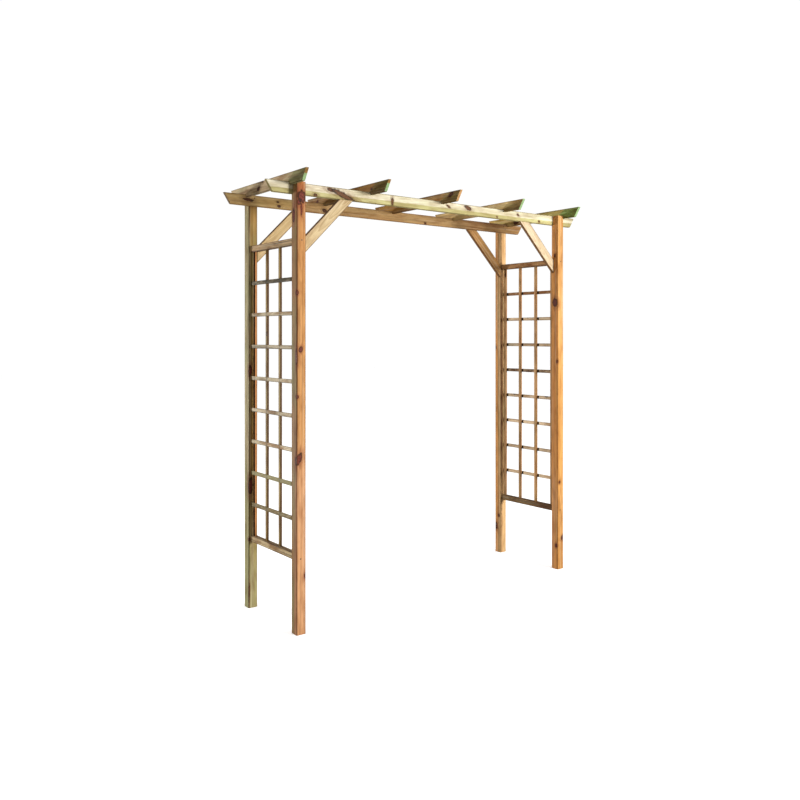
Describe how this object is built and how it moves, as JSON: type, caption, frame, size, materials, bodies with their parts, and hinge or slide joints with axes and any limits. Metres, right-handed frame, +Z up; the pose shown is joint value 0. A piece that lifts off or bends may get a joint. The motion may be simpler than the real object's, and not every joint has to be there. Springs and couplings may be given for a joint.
{
  "type": "flat-topped garden pergola arch with trellis sides",
  "caption": "Free-standing timber garden pergola: square posts, notched rails and rafters with slanted ends, 45 degree braces and open trellis side panels.",
  "frame": {"origin": "on the ground, in the middle of the four post feet", "axes": "+X along the rails towards the right-hand trellis, +Y from the front posts to the rear posts, +Z up"},
  "size_m": [2.4, 0.87, 2.448],
  "materials": {
    "post_timber": "planed pressure-treated softwood, warm orange-brown with olive streaks and red-brown knots",
    "rail_timber": "planed pressure-treated softwood, pale straw with a green tint",
    "rafter_timber": "planed pressure-treated softwood, brown-olive with pale green end grain",
    "brace_timber": "planed pressure-treated softwood, pale cream to honey",
    "trellis_timber": "sawn pressure-treated softwood lath, grey-beige to brown",
    "screw_steel": "dull coated steel screw heads"
  },
  "bodies": {
    "root": {"post_front_left": "post_timber", "post_rear_left": "post_timber", "post_front_right": "post_timber", "post_rear_right": "post_timber", "rail_front": "rail_timber", "rail_rear": "rail_timber", "rafter_1": "rafter_timber", "rafter_2": "rafter_timber", "rafter_3": "rafter_timber", "rafter_4": "rafter_timber", "rafter_5": "rafter_timber", "brace_front_left": "brace_timber", "brace_rear_left": "brace_timber", "brace_front_right": "brace_timber", "brace_rear_right": "brace_timber", "lattice_left": "trellis_timber", "trellis_top_bar_outer_left": "trellis_timber", "trellis_bottom_bar_outer_left": "trellis_timber", "trellis_top_bar_inner_left": "trellis_timber", "trellis_bottom_bar_inner_left": "trellis_timber", "lattice_right": "trellis_timber", "trellis_top_bar_outer_right": "trellis_timber", "trellis_bottom_bar_outer_right": "trellis_timber", "trellis_top_bar_inner_right": "trellis_timber", "trellis_bottom_bar_inner_right": "trellis_timber"}
  },
  "joints": []
}
